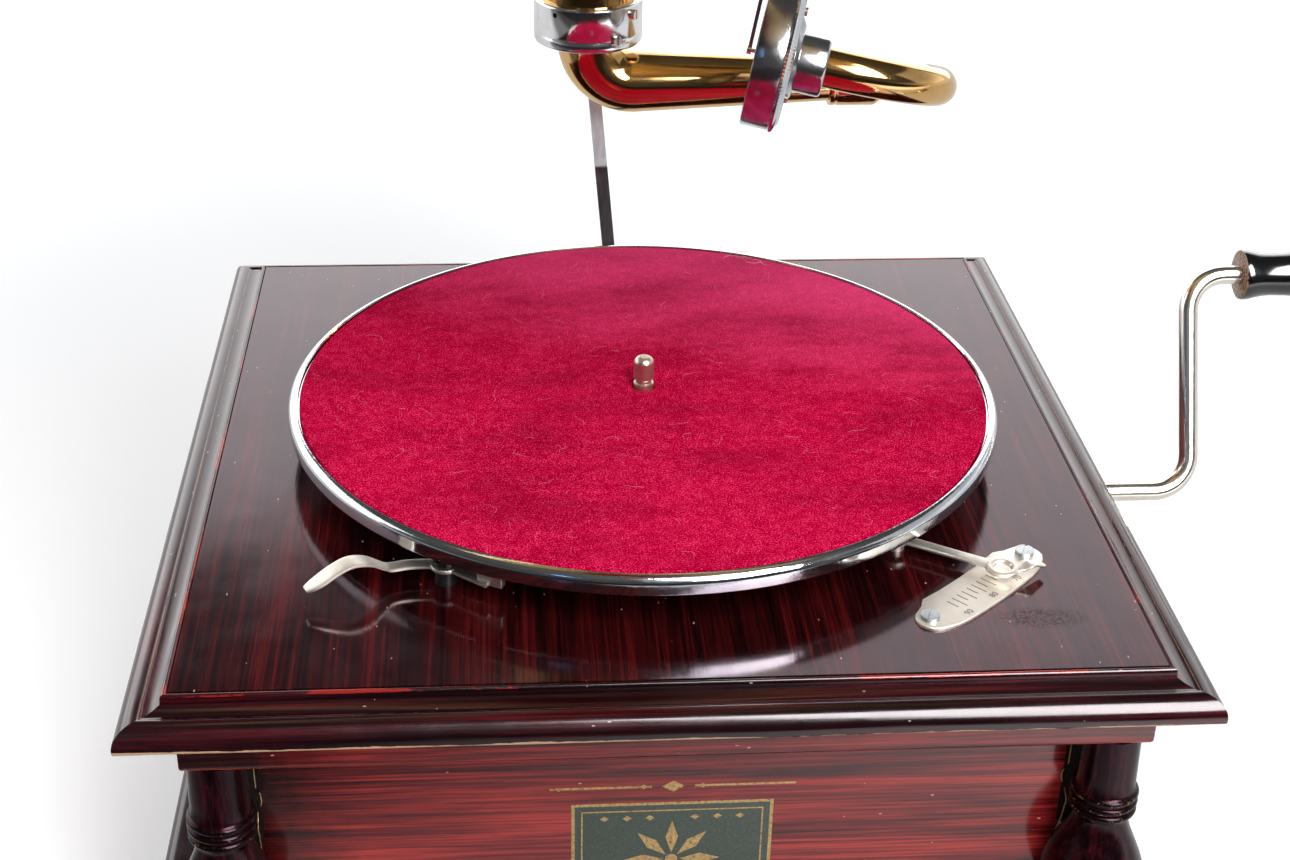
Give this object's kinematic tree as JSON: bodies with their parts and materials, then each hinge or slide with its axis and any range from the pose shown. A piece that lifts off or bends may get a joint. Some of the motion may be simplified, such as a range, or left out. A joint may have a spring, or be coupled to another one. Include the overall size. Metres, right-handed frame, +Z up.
{
  "type": "horn gramophone",
  "caption": "Table gramophone: square wooden case with columned corners and a spring motor, felt turntable, side crank, swinging brass tonearm with turn-over soundbox, and a flared brass horn.",
  "frame": {"origin": "on the underside of the plinth, straight below the spindle", "axes": "+Z up along the spindle, -Y is the front, +X is the crank's side"},
  "size_m": [0.5351, 0.385, 0.7049],
  "materials": {
    "case_wood": "dark red mahogany, gloss lacquer",
    "column_wood": "turned hardwood stained near black, gloss lacquer, worn gold edges",
    "inner_wood": "plain sawn pine",
    "nickel": "polished nickel plate",
    "chrome": "mirror chrome plate",
    "brass": "polished brass",
    "steel": "machined steel",
    "iron": "japanned iron",
    "felt": "crimson wool felt",
    "mica": "split mica",
    "rubber": "soft gasket rubber",
    "grip_wood": "turned wood, black lacquer, bare end grain"
  },
  "bodies": {
    "case": {"base_board": "inner_wood", "plinth_moulding": "case_wood", "front_panel": "case_wood", "back_panel": "case_wood", "left_panel": "case_wood", "right_panel": "case_wood", "column_front_left": "column_wood", "column_front_right": "column_wood", "column_back_left": "column_wood", "column_back_right": "column_wood", "frieze_frame": "case_wood", "top_board": "case_wood", "top_moulding": "case_wood", "back_bracket": "steel", "bracket_screws": "nickel", "collar": "chrome", "speed_plate": "nickel", "speed_plate_screws": "nickel", "crank_bush": "nickel", "motor_plate": "iron", "motor_screws": "nickel", "motor_pillars": "steel", "lower_plate": "iron", "winding_bracket": "iron", "governor_bearings": "iron", "brake_screw": "nickel"},
    "horn": {"horn_elbow": "brass", "horn_neck": "brass", "horn_bell": "brass"},
    "tonearm": {"tonearm_tube": "brass"},
    "gooseneck": {"gooseneck_tube": "brass", "soundbox_drum": "chrome", "soundbox_back": "chrome", "soundbox_ring": "chrome", "soundbox_screws": "nickel", "diaphragm": "mica", "diaphragm_gaskets": "rubber", "needle_bar": "nickel", "needle": "nickel"},
    "needle_clamp": {"needle_screw": "nickel"},
    "turntable": {"platter": "chrome", "platter_hub": "steel", "felt_mat": "felt", "spindle": "nickel", "worm_wheel": "brass"},
    "barrel": {"spring_barrel": "steel", "barrel_cover": "steel", "mainspring": "steel"},
    "arbor": {"winding_arbor": "steel"},
    "pawl": {"ratchet_pawl": "steel"},
    "intermediate": {"intermediate_arbor": "steel"},
    "governor": {"governor_shaft": "steel", "governor_weights": "brass", "governor_disc": "brass"},
    "regulator": {"regulator_lever": "steel"},
    "speed": {"speed_lever": "nickel"},
    "brake": {"brake_lever": "nickel"},
    "crank": {"crank_rod": "nickel", "winding_shaft": "steel"},
    "grip": {"crank_grip": "grip_wood"}
  },
  "joints": [
    {"name": "turntable_spin", "type": "hinge", "parent": "case", "child": "turntable", "pos_m": [0, 0, 0.178], "axis": [0, 0, 1], "continuous": true},
    {"name": "intermediate_spin", "type": "hinge", "parent": "case", "child": "intermediate", "pos_m": [0.01546, 0.03251, 0.069], "axis": [0, 0, 1], "continuous": true},
    {"name": "barrel_spin", "type": "hinge", "parent": "case", "child": "barrel", "pos_m": [0.058, 0.015, 0.08], "axis": [0, 0, 1], "continuous": true},
    {"name": "governor_spin", "type": "hinge", "parent": "case", "child": "governor", "pos_m": [0, -0.0203, 0.131], "axis": [1, 0, 0], "continuous": true},
    {"name": "crank_turn", "type": "hinge", "parent": "case", "child": "crank", "pos_m": [0.15, 0.015, 0.1396], "axis": [1, 0, 0], "continuous": true},
    {"name": "winding_arbor_spin", "type": "hinge", "parent": "case", "child": "arbor", "pos_m": [0.058, 0.015, 0.13], "axis": [0, 0, 1], "continuous": true},
    {"name": "crank_grip_spin", "type": "hinge", "parent": "crank", "child": "grip", "pos_m": [0.27, 0.05195, 0.2147], "axis": [1, 0, 0], "continuous": true},
    {"name": "pawl_swing", "type": "hinge", "parent": "case", "child": "pawl", "pos_m": [0.0445, 0.03109, 0.1515], "axis": [0, 0, 1], "range_deg": [-15, 0]},
    {"name": "tonearm_swing", "type": "hinge", "parent": "case", "child": "tonearm", "pos_m": [-0.01375, 0.15, 0.279], "axis": [0, 0, 1], "range_deg": [-130, 30]},
    {"name": "gooseneck_flip", "type": "hinge", "parent": "tonearm", "child": "gooseneck", "pos_m": [0.095, 0.15, 0.2605], "axis": [1, 0, 0], "range_deg": [-167, 0]},
    {"name": "needle_screw_turn", "type": "hinge", "parent": "gooseneck", "child": "needle_clamp", "pos_m": [0.05044, 0.09963, 0.32329], "axis": [0.965, -0.1963, -0.1736], "range_deg": [0, 720]},
    {"name": "horn_swivel", "type": "hinge", "parent": "case", "child": "horn", "pos_m": [-0.01375, 0.15, 0.297], "axis": [0, 0, 1], "range_deg": [-60, 60]},
    {"name": "brake_lever_swing", "type": "hinge", "parent": "case", "child": "brake", "pos_m": [-0.07, -0.095, 0.184], "axis": [0, 0, 1], "range_deg": [-9.4, 4]},
    {"name": "speed_lever_swing", "type": "hinge", "parent": "case", "child": "speed", "pos_m": [0.079, -0.081, 0.178], "axis": [0, 0, 1], "range_deg": [-34, 3]},
    {"name": "regulator_swing", "type": "hinge", "parent": "case", "child": "regulator", "pos_m": [0.072, -0.046, 0.1505], "axis": [0, 0, 1], "range_deg": [-2, 0.5]}
  ],
  "couplings": [
    {"joint": "intermediate_spin", "follows": "turntable_spin", "ratio": -0.2},
    {"joint": "barrel_spin", "follows": "turntable_spin", "ratio": 0.03},
    {"joint": "governor_spin", "follows": "turntable_spin", "ratio": 10},
    {"joint": "winding_arbor_spin", "follows": "crank_turn", "ratio": 0.33333},
    {"joint": "regulator_swing", "follows": "speed_lever_swing", "ratio": 0.054}
  ]
}
